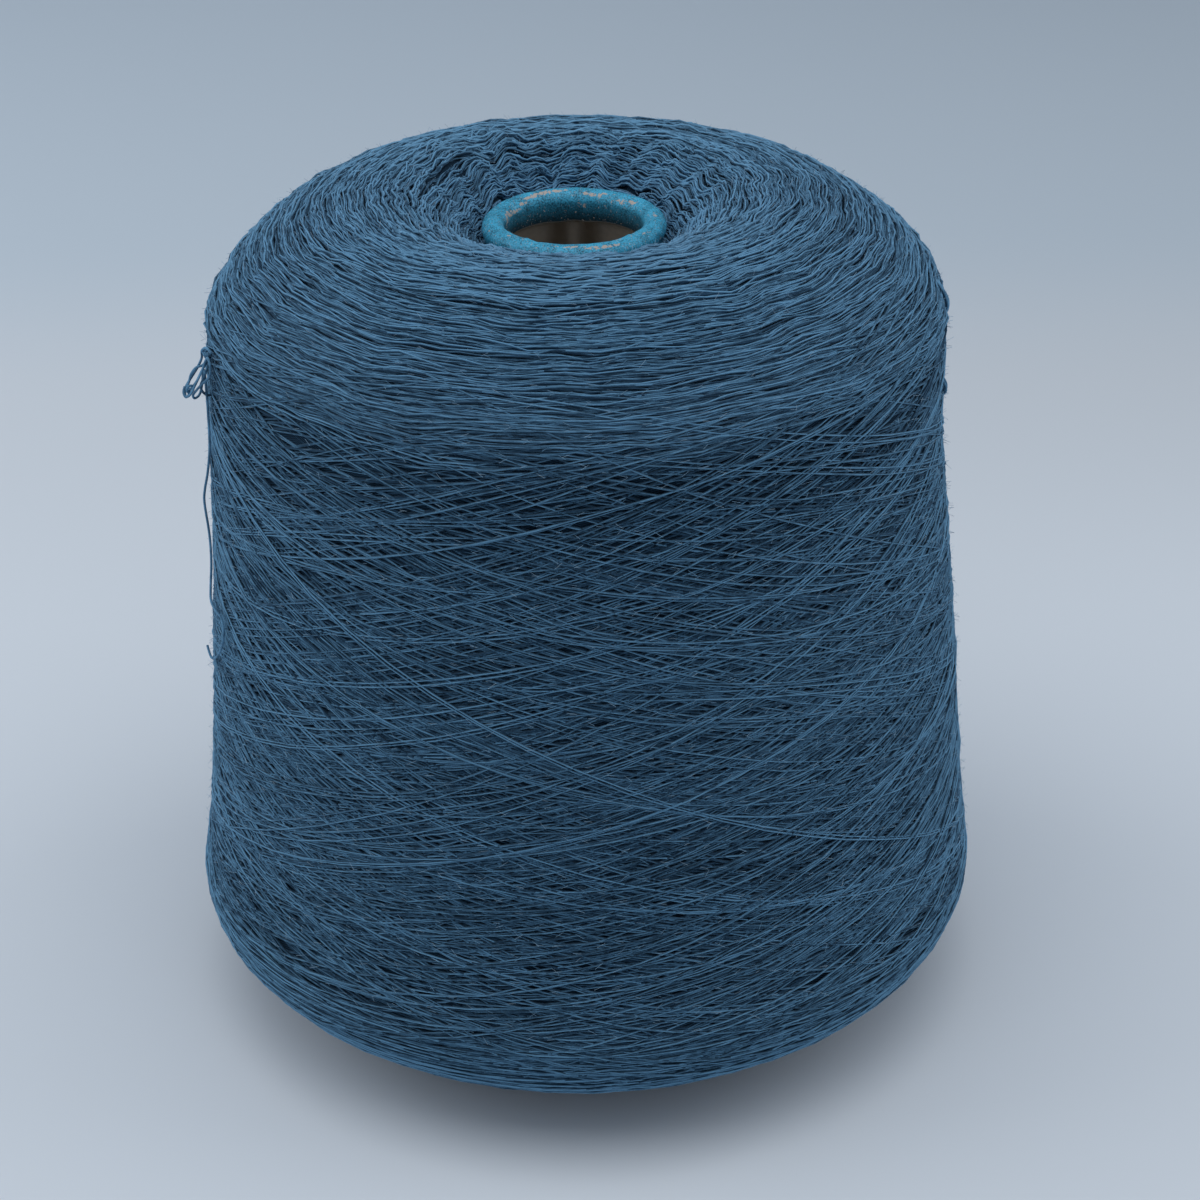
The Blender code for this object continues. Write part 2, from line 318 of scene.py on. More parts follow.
def linear(colour):
    """The linear colour of an sRGB hex value such as #204060, with full alpha."""
    shares = [int(colour[place : place + 2], 16) / 255.0 for place in (1, 3, 5)]
    curve = (s / 12.92 if s <= 0.04045 else ((s + 0.055) / 1.055) ** 2.4 for s in shares)
    return (*curve, 1.0)


def colour_setting(name, description, default):
    """A colour that the user can change."""
    limits = {"default": linear(default), "size": 4, "min": 0.0, "max": 1.0, "subtype": "COLOR"}
    return FloatVectorProperty(name=name, description=description, **limits)


def length_setting(name, description, default, most):
    """A length that the user can change, given here in millimetres."""
    limits = {"min": 0.0, "max": most * MM, "precision": 5, "unit": "LENGTH"}
    return FloatProperty(name=name, description=description, default=default * MM, **limits)


def power_setting(name, description, default):
    """A light's power that the user can change."""
    limits = {"min": 0.0, "max": 500.0, "unit": "POWER"}
    return FloatProperty(name=name, description=description, default=default, **limits)


class YarnSettings(PropertyGroup):
    """The yarn's sizes and colours."""

    thickness: length_setting("Thickness", "Diameter of one strand", 0.45, 3.0)
    fibre_length: length_setting("Fibre length", "How far the longest fibres stand out", 1.4, 10.0)
    fibres: IntProperty(
        name="Fibres", description="How many loose fibres there are", default=11000, min=0, max=20000
    )
    light_colour: colour_setting("Light strands", "Colour of the palest strands", "#6A9BBD")
    dark_colour: colour_setting("Dark strands", "Colour of the darkest strands", "#26435A")


class ConeSettings(PropertyGroup):
    """The paper cone's colours."""

    dip_colour: colour_setting("Dip", "Colour that the cone's nose is dipped in", "#2D87A6")
    board_colour: colour_setting("Board", "Colour of the pulp board inside the cone", "#CFC2B2")
    scuff_colour: colour_setting("Scuffs", "Colour where the dip is rubbed off", "#B5A79C")


class StageSettings(PropertyGroup):
    """The studio's colour and light."""

    floor_colour: colour_setting("Floor", "Colour of the sweep that the cone stands on", "#D8DFE6")
    key_power: power_setting("Overhead light", "Power of the large soft light overhead", 5.2)
    side_power: power_setting("Side lights", "Power of each of the soft lights at the sides", 4.5)
    room_light: FloatProperty(
        name="Room light", description="Strength of the even light", default=0.42, min=0.0, max=5.0
    )


# What a step of each kind adds: a node and its settings. Any other kind is one of the Math node's
# operations, written as a sign or by its name, and *+ multiplies two terms and adds the third.
KINDS = {
    "BLEND": ("ShaderNodeMix", {"data_type": "RGBA"}),
    "DRAW": ("FunctionNodeRandomValue", {"data_type": "FLOAT"}),
    "NOISE": ("ShaderNodeTexNoise", {}),
    "PLACE": ("ShaderNodeCombineXYZ", {}),
    "MOVE": ("ShaderNodeVectorMath", {"operation": "ADD"}),
    "MOVE BACK": ("ShaderNodeVectorMath", {"operation": "SUBTRACT"}),
    "STRETCH": ("ShaderNodeVectorMath", {"operation": "MULTIPLY"}),
    "SCALE": ("ShaderNodeVectorMath", {"operation": "SCALE"}),
}
SIGNS = {"+": "ADD", "-": "SUBTRACT", "*": "MULTIPLY", "/": "DIVIDE", "*+": "MULTIPLY_ADD"}


def add(tree, kind, fill=None, **settings):
    """Add a node, set its properties and fill its sockets, and return its first output.

    The keys of fill are the names of sockets or their places, and its values are numbers,
    colours, materials and so on, or other nodes' outputs.
    """
    node = tree.nodes.new(kind)
    for name, value in settings.items():
        setattr(node, name, value)
    shown = [socket for socket in node.inputs if socket.enabled]
    for key, value in (fill or {}).items():
        named = [socket for socket in shown if socket.name == key]
        socket = named[0] if named else shown[key]
        if isinstance(value, bpy.types.NodeSocket):
            tree.links.new(value, socket)
        else:
            socket.default_value = value
    return next((socket for socket in node.outputs if socket.enabled), None)


def reckon(tree, known, *steps):
    """Add a node for each (result, kind, terms) step, and keep what it gives by the result's name.

    A STORED step gives the piece's own attribute of that name, and the terms of the others fill
    the node's sockets in order.
    """
    for result, kind, *terms in steps:
        if kind == "STORED":
            stored = add(tree, "ShaderNodeAttribute", attribute_name=result)
            known[result] = stored.node.outputs["Fac"]
            continue
        node, settings = KINDS.get(kind, ("ShaderNodeMath", {"operation": SIGNS.get(kind, kind)}))
        fill = {place: known.get(term, term) for place, term in enumerate(terms)}
        known[result] = add(tree, node, fill, **settings)


def new_tree(name, counts, sizes):
    """A Geometry Nodes tree with a geometry in and out and named inputs; also what each gives."""
    tree = bpy.data.node_groups.new(name, "GeometryNodeTree")
    kinds = {"Geometry": "Geometry"} | dict.fromkeys(counts, "Int") | dict.fromkeys(sizes, "Float")
    for title, kind in kinds.items():
        tree.interface.new_socket(title, in_out="INPUT", socket_type=f"NodeSocket{kind}")
    tree.interface.new_socket("Geometry", in_out="OUTPUT", socket_type="NodeSocketGeometry")
    given = tree.nodes.new("NodeGroupInput").outputs
    return tree, {socket.name: socket for socket in given if socket.name}


def finish_tree(tree, geometry, material):
    """End a tree in plain geometry with its material."""
    geometry = add(tree, "GeometryNodeRealizeInstances", {"Geometry": geometry})
    geometry = add(tree, "GeometryNodeSetMaterial", {"Geometry": geometry, "Material": material})
    add(tree, "NodeGroupOutput", {"Geometry": geometry})


def grown(name, surface, tree, values):
    """A plain mesh object that the tree makes from the surface, with the tree's inputs set."""
    piece = bpy.data.objects.new(name, surface)
    bpy.context.scene.collection.objects.link(piece)
    modifier = piece.modifiers.new(tree.name, "NODES")
    modifier.node_group = tree
    for item in tree.interface.items_tree:
        if item.item_type == "SOCKET" and item.in_out == "INPUT" and item.name in values:
            modifier[item.identifier] = values[item.name]
    bpy.context.view_layer.update()
    graph = bpy.context.evaluated_depsgraph_get()
    mesh = bpy.data.meshes.new_from_object(piece.evaluated_get(graph))
    piece.modifiers.clear()
    piece.data = mesh
    mesh.name = name
    mesh.shade_smooth()
    return piece


def placed(name, mesh, *materials):
    """An object at the origin with this mesh and these materials."""
    for material in materials:
        mesh.materials.append(material)
    piece = bpy.data.objects.new(name, mesh)
    bpy.context.scene.collection.objects.link(piece)
    return piece


def curve_through(rows, position):
    """The smooth curve through a list of rows of numbers, at a row number with a fraction."""
    index = min(int(position), len(rows) - 2)
    fraction = position - index
    last = len(rows) - 1
    a, b, c, d = (np.array(rows[min(max(index + k, 0), last)], float) for k in (-1, 0, 1, 2))
    bend = 2.0 * a - 5.0 * b + 4.0 * c - d
    twist = 3.0 * (b - c) + d - a
    return b + 0.5 * fraction * ((c - a) + fraction * (bend + fraction * twist))


def ease(value, start, end):
    """0 before start, 1 past end, and a soft slope between them."""
    share = np.clip((value - start) / (end - start), 0.0, 1.0)
    return share * share * (3.0 - 2.0 * share)


ROW_STEPS = 40
ROWS = np.linspace(0.0, len(OUTLINE) - 1.0, (len(OUTLINE) - 1) * ROW_STEPS + 1)
SECTIONS = np.array([curve_through(OUTLINE, row) for row in ROWS])
STATIONS = np.concatenate(
    ([0.0], np.cumsum(np.linalg.norm(np.diff(SECTIONS[:, :2], axis=0), axis=1)))
)


def station_at(row):
    """How far along the outline a row is, in millimetres."""
    return float(np.interp(row, ROWS, STATIONS))


def crinkle(angle, radius):
    """How high the crinkled turns stand over the plain outline, as in the solids."""
    strength = ease(radius, RIDGE_INNER_RADIUS, RIDGE_FULL_RADIUS)
    strength = strength * (1.0 - ease(radius, RIDGE_FADE_RADIUS, RIDGE_OUTER_RADIUS))
    lean = RIDGE_LEAN * (radius - RIDGE_FULL_RADIUS)
    drift = sum(amount * np.sin(waves * angle + phase) for waves, amount, phase in DRIFT_WAVES)
    facing = 0.5 + 0.5 * np.cos(angle - FOLD_DIRECTION)
    share = RIDGE_EVEN_SHARE + (1.0 - RIDGE_EVEN_SHARE) * facing
    ridge = RIDGE_HEIGHT * share * np.sin(RIDGES * (angle + lean) + drift)
    fold = FOLD_HEIGHT * facing * np.sin(FOLDS * (angle - lean) + FOLD_DRIFT * drift)
    return strength * (ridge + fold)


def wound_surface(sides, sections, inset):
    """Points of the wound form, one row for each section, moved in by the inset."""
    stations = np.linspace(0.0, STATIONS[-1], sections)
    height, radius, sideways = (np.interp(stations, STATIONS, SECTIONS[:, k]) for k in range(3))
    slope = np.stack((np.gradient(height, stations), np.gradient(radius, stations)))
    slope /= np.linalg.norm(slope, axis=0)
    height = height + inset * slope[1]
    radius = radius - inset * slope[0]
    angle = np.linspace(0.0, 2.0 * math.pi, sides + 1)[None, :]
    upper = (height > CONE_LENGTH / 2.0)[:, None]
    lift = np.where(upper, crinkle(angle, radius[:, None]), 0.0)
    across = radius[:, None]
    x, y = sideways[:, None] + across * np.cos(angle), across * np.sin(angle)
    return np.stack(np.broadcast_arrays(x, y, height[:, None] + lift), axis=-1) * MM


def sheet_mesh(name, places, closed_round=False):
    """A mesh of quads over a grid of points, with a UV map from 0 to 1 each way."""
    rows, columns = places.shape[:2]
    kept = columns - 1 if closed_round else columns
    row, column = np.meshgrid(np.arange(rows - 1), np.arange(columns - 1), indexing="ij")
    corners = ((0, 0), (0, 1), (1, 1), (1, 0))
    faces = np.stack([(row + down) * kept + (column + right) % kept for down, right in corners], -1)
    mesh = bpy.data.meshes.new(name)
    mesh.from_pydata(places[:, :kept].reshape(-1, 3).tolist(), [], faces.reshape(-1, 4).tolist())
    uv = mesh.uv_layers.new(name="winding")
    across = np.stack([(column + right) / (columns - 1) for _, right in corners], -1)
    along = np.stack([(row + down) / (rows - 1) for down, _ in corners], -1)
    uv.data.foreach_set("uv", np.stack((across, along), -1).astype(np.float32).ravel())
    mesh.shade_smooth()
    return mesh


def close_ends(mesh):
    """Join a sheet's last row to its first one, and turn the faces of the closed shell outwards."""
    shell = bmesh.new()
    shell.from_mesh(mesh)
    bmesh.ops.remove_doubles(shell, verts=shell.verts, dist=0.001 * MM)
    bmesh.ops.recalc_face_normals(shell, faces=shell.faces)
    shell.to_mesh(mesh)
    shell.free()


def dimmed(colour, share):
    """A colour with its red, green and blue at a share of what they are, and full alpha."""
    return tuple(share * part for part in colour[:3]) + (1.0,)


def finish_of(name):
    """A new material's node tree, and the first thing known in it: the place on the piece."""
    material = bpy.data.materials.new(name)
    material.use_nodes = True
    tree = material.node_tree
    tree.nodes.clear()
    return tree, {"place": add(tree, "ShaderNodeTexCoord").node.outputs["Object"]}


def end_finish(tree, fill, bump=None):
    """End a material's tree in a surface with these values, and with a bump where it has one."""
    if bump:
        fill["Normal"] = add(tree, "ShaderNodeBump", bump)
    shader = add(tree, "ShaderNodeBsdfPrincipled", fill)
    add(tree, "ShaderNodeOutputMaterial", {"Surface": shader})


def yarn_finish(name, tone=None):
    """Spun yarn, fine and hairy: matt and soft, each strand a little darker or paler."""
    yarn = bpy.context.scene.yarn
    tree, known = finish_of(name)
    # Painted light and shade where a strand comes up between its neighbours and goes down again,
    # every 3 mm or so, each strand in its own places.
    slub = {"Vector": known["place"], "Scale": 330.0, "Detail": 2.0}
    if tone is None:
        reckon(tree, known, ("tone", "STORED"), ("own slub", "*", "tone", 300.0))
        slub["W"] = known["own slub"]
    else:
        known["tone"] = tone
    known["slub"] = add(tree, "ShaderNodeTexNoise", slub, noise_dimensions="4D")
    # More light gets between the strands at the top, which faces the overhead light.
    height = add(tree, "ShaderNodeSeparateXYZ", {"Vector": known["place"]}).node.outputs["Z"]
    closed = {"Value": height, "From Min": 0.145, "From Max": 0.17, "To Min": 1.0, "To Max": 0.62}
    known["closed"] = add(tree, "ShaderNodeMapRange", closed, interpolation_type="SMOOTHSTEP")
    reckon(
        tree,
        known,
        # Fibres 0.05 mm thick, drawn at 0.25 mm so that they show.
        ("fibre", "NOISE", "place", 4000.0, 1.0),
        ("slub", "*+", "slub", 2.0, -1.0),
        ("fibre", "*+", "fibre", 0.6, -0.3),
        ("shade", "+", "tone", "slub"),
        ("shade", "+", "shade", "fibre"),
        ("colour", "BLEND", "shade", tuple(yarn.dark_colour), tuple(yarn.light_colour)),
        # Painted shade: no light gets between a strand and the yarn below it.
        ("under", "STORED"),
        ("under", "POWER", "under", 1.4),
        ("under", "*", "under", "closed"),
        ("colour", "BLEND", "under", "colour", dimmed(yarn.dark_colour, GAP_SHADE_SHARE)),
    )
    fill = {"Base Color": known["colour"], "Roughness": 0.95, "Specular IOR Level": 0.15}
    end_finish(tree, fill | {"Sheen Weight": 0.35, "Sheen Tint": linear("#7FA9CC")})


def packed_finish():
    """Yarn packed under the strands that show: fine crossed threads, with painted shade in the gaps
    between them.
    """
    dark = tuple(bpy.context.scene.yarn.dark_colour)
    tree, known = finish_of("packed_yarn")
    winding = add(tree, "ShaderNodeUVMap", uv_map="winding")
    parts = add(tree, "ShaderNodeSeparateXYZ", {"Vector": winding}).node.outputs
    known |= {"across": parts["X"], "up": parts["Y"]}
    reckon(
        tree,
        known,
        # The threads drift a little from their even spacing.
        ("drift", "NOISE", "place", 60.0, 2.0),
        ("across", "*", "across", THREADS_ROUND * 2.0 * math.pi),
        ("up", "*", "up", THREADS_UP * 2.0 * math.pi),
        ("up", "*+", "drift", 40.0, "up"),
        ("one way", "+", "up", "across"),
        ("other way", "-", "up", "across"),
        ("one way", "SINE", "one way"),
        ("other way", "SINE", "other way"),
        ("one way", "*+", "one way", 0.5, 0.5),
        ("other way", "*+", "other way", 0.5, 0.5),
        # Patches where the threads of one way or the other lie on top.
        ("patch", "NOISE", "place", 110.0, 1.0),
        ("patch", "*+", "patch", 6.0, -2.5),
        ("patch", "MAXIMUM", "patch", 0.0),
        ("patch", "MINIMUM", "patch", 1.0),
        ("rest", "-", 1.0, "patch"),
        ("one way", "*", "one way", "patch"),
        ("thread", "*+", "other way", "rest", "one way"),
        ("thread", "POWER", "thread", 1.5),
        # Painted shade in the gaps between the threads.
        ("colour", "BLEND", "thread", dimmed(dark, GAP_SHADE_SHARE), dark),
    )
    bump = {"Strength": 0.8, "Distance": 0.25 * MM, "Height": known["thread"]}
    fill = {"Base Color": known["colour"], "Roughness": 0.95, "Specular IOR Level": 0.1}
    end_finish(tree, fill, bump)


def fibre_finish():
    """Loose fibre ends of spun yarn: dull, and some of them paler than the strands."""
    tree, known = finish_of("loose_fibre")
    light = tuple(bpy.context.scene.yarn.light_colour)
    reckon(tree, known, ("tone", "STORED"), ("colour", "BLEND", "tone", light, linear("#9DB8CB")))
    end_finish(tree, {"Base Color": known["colour"], "Roughness": 0.8})


def dip_finish():
    """Wound pulp board dipped in paint: grainy and dull, rubbed back to pinkish paper in places."""
    cone = bpy.context.scene.yarn_cone
    dip = tuple(cone.dip_colour)
    pale = tuple(min(1.0, 1.6 * part + 0.01) for part in dip[:3]) + (1.0,)
    tree, known = finish_of("dipped_pulp_board")
    reckon(
        tree,
        known,
        # Fine wrinkles of the paper, which run up over the bead, make the worn places ragged. The
        # pulp's grain is 0.1 mm, drawn at 0.3 mm so that it shows.
        ("wrinkle", "NOISE", "place", 1200.0, 4.0, 0.7),
        ("grain", "NOISE", "place", 3300.0, 2.0),
        ("wear", "STORED"),
        ("ragged", "*+", "wrinkle", 11.0, -4.3),
        ("ragged", "MAXIMUM", "ragged", 0.2),
        ("ragged", "*", "ragged", "wear"),
        ("ragged", "*+", "grain", 0.8, "ragged"),
        ("ragged", "-", "ragged", 1.15),
        ("rubbed", "*", "ragged", 6.0),
        ("rubbed", "MAXIMUM", "rubbed", 0.0),
        # Specks the size of a pinhead's tip where the dip never took.
        ("speck", "NOISE", "place", 2300.0, 2.0),
        ("speck", "*+", "speck", 9.0, -5.7),
        ("rubbed", "MAXIMUM", "rubbed", "speck"),
        ("rubbed", "MINIMUM", "rubbed", 0.9),
        ("cloud", "NOISE", "place", 420.0, 3.0),
        ("mottle", "*+", "grain", 3.2, -1.75),
        ("mottle", "*+", "cloud", 1.5, "mottle"),
        ("paint", "BLEND", "mottle", dimmed(dip, 0.42), pale),
        # Painted shade: darker where the paper is turned in, and a little where it meets the yarn.
        ("grime", "STORED"),
        ("paint", "BLEND", "grime", "paint", linear("#06181F")),
        ("paint", "BLEND", "rubbed", "paint", tuple(cone.scuff_colour)),
        ("bare", "STORED"),
        ("colour", "BLEND", "bare", "paint", tuple(cone.board_colour)),
        ("height", "*+", "rubbed", -0.7, "grain"),
        ("height", "*+", "wrinkle", 1.2, "height"),
    )
    bump = {"Strength": 0.6, "Distance": 0.08 * MM, "Height": known["height"]}
    fill = {"Base Color": known["colour"], "Roughness": 0.5, "Specular IOR Level": 0.35}
    end_finish(tree, fill, bump)


def board_finish():
    """Plain wound pulp board: matt and grey, a little blotchy."""
    board = tuple(bpy.context.scene.yarn_cone.board_colour)
    tree, known = finish_of("pulp_board")
    reckon(
        tree,
        known,
        ("blotch", "NOISE", "place", 900.0, 3.0),
        ("colour", "BLEND", "blotch", dimmed(board, 0.7), board),
    )
    end_finish(tree, {"Base Color": known["colour"], "Roughness": 0.95, "Specular IOR Level": 0.1})


def sweep_finish():
    """Seamless paper sweep: matt and pale, with painted shade where the light falls off."""
    floor = tuple(bpy.context.scene.yarn_stage.floor_colour)
    behind = tuple(share * part for share, part in zip(BEHIND_SHADE_SHARES, floor)) + (1.0,)
    tree, known = finish_of("paper_sweep")
    parts = add(tree, "ShaderNodeSeparateXYZ", {"Vector": known["place"]}).node.outputs
    # The light falls off a little behind the table's back edge, and from beside the cone backwards
    # it also does towards the right.
    falls = (
        ("edge", "Y", 0.29, 0.45, 1.0, "SMOOTHSTEP"), ("far", "Y", 0.05, 0.33, 1.0, "SMOOTHSTEP"),
        ("side", "X", -0.5, 0.5, 0.24, "LINEAR"),
    )
    for name, axis, start, end, most, kind in falls:
        fill = {"Value": parts[axis], "From Min": start, "From Max": end, "To Max": most}
        known[name] = add(tree, "ShaderNodeMapRange", fill, interpolation_type=kind)
    reckon(
        tree,
        known,
        ("colour", "BLEND", "edge", floor, behind),
        ("side", "*", "side", "far"),
        ("colour", "BLEND", "side", "colour", (0.0, 0.0, 0.0, 1.0)),
    )
    end_finish(tree, {"Base Color": known["colour"], "Roughness": 0.9, "Specular IOR Level": 0.1})


# What the winding tree is given besides its surface: counts, and then sizes, shares and turns.
WINDING_COUNTS = ("Strands", "Points", "Together", "Seed")
WINDING_SIZES = (
    "Thickness", "Whole outline", "First", "Last", "Reach", "Turns", "Run up", "Run down", "Bow",
    "Slant", "Low", "High", "Stand", "Dive", "Gap", "Crimp", "Wander", "Jitter", "Calm", "Tone",
)

# What spreads evenly from one strand to the next, as in steady winding: the share of its range
# that it moves on by, and the range, from the least to the most.
EVEN_DRAWS = (
    ("turn draw", 0.8566749, 0.0, 1.0),
    ("shift draw", 0.7338919, 0.0, math.pi),
    ("span draw", 0.6287067, 0.35, 0.85),
    ("start draw", 0.5385973, -1.0, 1.0),
)
# A strand's own draws, from the least to the most.
DRAWS = (
    ("end draw", -0.5, 0.5),
    ("speed draw", 0.9, 1.17),
    ("lift draw", 0.0, 1.0),
    ("tone draw", -0.35, 0.35),
    ("bow draw", 0.4, 1.6),
    ("slant draw", -1.0, 1.0),
    ("stand draw", 0.0, 1.0),
)
# A strand's draws of its own, also among those that lie together.
OWN_DRAWS = (
    ("own gap", -0.6, 0.6),
    ("own tone", -0.15, 0.15),
    ("own lift", -0.06 * MM, 0.06 * MM),
)
# How strands are told apart. Those that lie together are a bundle, and every other bundle goes
# the other way. In these tables each result's name comes first.
BUNDLES = (
    ("bundle", "/", "number", "Together"),
    ("bundle", "FLOOR", "bundle"),
    ("bundle start", "*", "bundle", "Together"),
    ("member", "-", "number", "bundle start"),
    ("way", "MODULO", "bundle", 2.0),
    ("way", "*+", "way", 2.0, -1.0),
    ("seed", "*", "Seed", 100.0),
    ("even start", "*", "Seed", 0.317),
)
# How a strand goes over the form. Along it goes from 0 to 1, and a station is a distance along
# the outline.
COURSE = (
    # From a stop, up to full speed within the run up, and down to a stop in the run down.
    ("early", "MINIMUM", "along", "Run up"),
    ("gained", "*", "early", "early"),
    ("gained", "/", "gained", "Run up"),
    ("full speed", "-", 1.0, "Run down"),
    ("late", "-", "along", "full speed"),
    ("late", "MAXIMUM", "late", 0.0),
    ("lost", "*", "late", "late"),
    ("lost", "/", "lost", "Run down"),
    ("gone", "-", "along", "early"),
    ("gone", "*+", "gained", 0.5, "gone"),
    ("gone", "*+", "lost", -0.5, "gone"),
    ("both runs", "+", "Run up", "Run down"),
    ("whole", "*+", "both runs", -0.5, 1.0),
    ("gone", "/", "gone", "whole"),
    # The station, with the bow, the slant and the place beside its neighbour.
    ("whole span", "-", "Last", "First"),
    ("own span", "*", "whole span", "span draw"),
    ("shift", "COSINE", "shift draw"),
    ("shift", "*+", "shift", 0.5, 0.5),
    ("left over", "-", "whole span", "own span"),
    ("first", "*+", "left over", "shift", "First"),
    ("last", "+", "first", "own span"),
    ("first", "*+", "start draw", "Reach", "first"),
    ("last", "*+", "end draw", "Reach", "last"),
    # A layer without a span of its own ends where it starts.
    ("level", "LESS_THAN", "whole span", 0.0001),
    ("same", "-", "first", "last"),
    ("last", "*+", "same", "level", "last"),
    ("span", "-", "last", "first"),
    ("station", "*+", "gone", "span", "first"),
    ("swing", "*+", "along", 2.0, -1.0),
    ("swing square", "*", "swing", "swing"),
    ("own bow", "*", "Bow", "bow draw"),
    ("bowed", "*", "swing square", "own bow"),
    ("station", "-", "station", "bowed"),
    ("own slant", "*", "Slant", "slant draw"),
    ("station", "*+", "along", "own slant", "station"),
    ("member", "+", "member", "own gap"),
    ("station", "*+", "member", "Gap", "station"),
    # The turn, a little longer one way than the other.
    ("own turns", "*", "Turns", "speed draw"),
    ("skew", "*+", "way", SKEW[1], SKEW[0]),
    ("own turns", "*", "own turns", "skew"),
    ("own turns", "*", "own turns", "way"),
    ("turn", "*+", "along", "own turns", "turn draw"),
    ("angle", "*", "turn", 2.0 * math.pi),
    ("right", "COSINE", "angle"),
    ("back", "SINE", "angle"),
    # Where it is in the waves that neighbouring turns share, 6 mm long round the nose, and in the
    # strands' own.
    ("slow station", "*", "station", 60.0),
    ("shared place", "PLACE", "right", "back", "slow station"),
    ("shared place", "STRETCH", "shared place", (4.6, 4.6, 1.0)),
    ("own height", "*", "number", 7.31),
    ("own place", "PLACE", "right", "back", "own height"),
)
# The waves in it, how far out it lies, and how dark or pale it is.
WAVES_AND_LIFT = (
    # The turns lie calmer the further they are from the folds.
    ("calm", "*", "right", 0.5 * math.cos(FOLD_DIRECTION)),
    ("calm", "*+", "back", 0.5 * math.sin(FOLD_DIRECTION), "calm"),
    ("calm", "-", "calm", 0.5),
    ("calm", "*+", "calm", "Calm", 1.0),
    ("own crimp", "*", "Crimp", "calm"),
    ("own jitter", "*", "Jitter", "calm"),
    ("wave along", "*+", "wave along", 4.0, -2.0),
    ("wave along", "*", "wave along", "own crimp"),
    ("station", "+", "station", "wave along"),
    ("wander", "NOISE", "own place", 2.5, 1.5),
    ("wander", "*+", "wander", 3.0, -1.5),
    ("wander", "*", "wander", "Wander"),
    ("station", "+", "wander", "station"),
    ("wave up", "*+", "wave up", 2.0, -1.0),
    ("wave up", "*", "wave up", "own crimp"),
    ("lift range", "-", "High", "Low"),
    ("lift", "*+", "lift draw", "lift range", "Low"),
    ("lift", "+", "lift", "own lift"),
    ("band", "-", "station", WAY_BAND_MIDDLE * MM),
    ("band", "*", "band", math.pi / (WAY_BAND_HALF * MM)),
    ("band", "COSINE", "band"),
    ("way lift", "*+", "band", WAY_LIFT_SWING * MM, WAY_LIFT * MM),
    ("lift", "*+", "way", "way lift", "lift"),
    ("sunk", "*+", "back", 0.12, -0.12),
    ("lift", "*+", "Crimp", "sunk", "lift"),
    ("lift", "*+", "wave up", 0.5, "lift"),
    ("lift", "*+", "wander", 0.2, "lift"),
    # Its ups and downs among its neighbours, and its thick and thin places: a draw for each point.
    ("bob", "DRAW", -0.15, 0.15),
    ("lift", "*+", "bob", "own jitter", "lift"),
    ("slub", "DRAW", 0.75, 1.3),
    ("half thickness", "*", "Thickness", 0.5),
    ("own stand", "*", "Stand", "stand draw"),
    ("own stand", "*", "own stand", "along"),
    ("lift", "*+", "own stand", "along", "lift"),
    # The ends dive under their neighbours.
    ("dive", "POWER", "swing square", 8.0),
    ("dive", "*", "dive", "Dive"),
    ("lift", "-", "lift", "dive"),
    ("across", "FRACT", "turn"),
    ("up", "/", "station", "Whole outline"),
    ("up", "MAXIMUM", "up", 0.0005),
    ("up", "MINIMUM", "up", 0.9995),
    ("spot", "PLACE", "across", "up"),
    ("tone", "+", "Tone", "tone draw"),
    ("tone", "+", "tone", "own tone"),
    # Painted shade: strands that lie deeper are darker, and those further out paler.
    ("tone", "*+", "lift draw", 0.5, "tone"),
    ("tone", "-", "tone", 0.25),
)


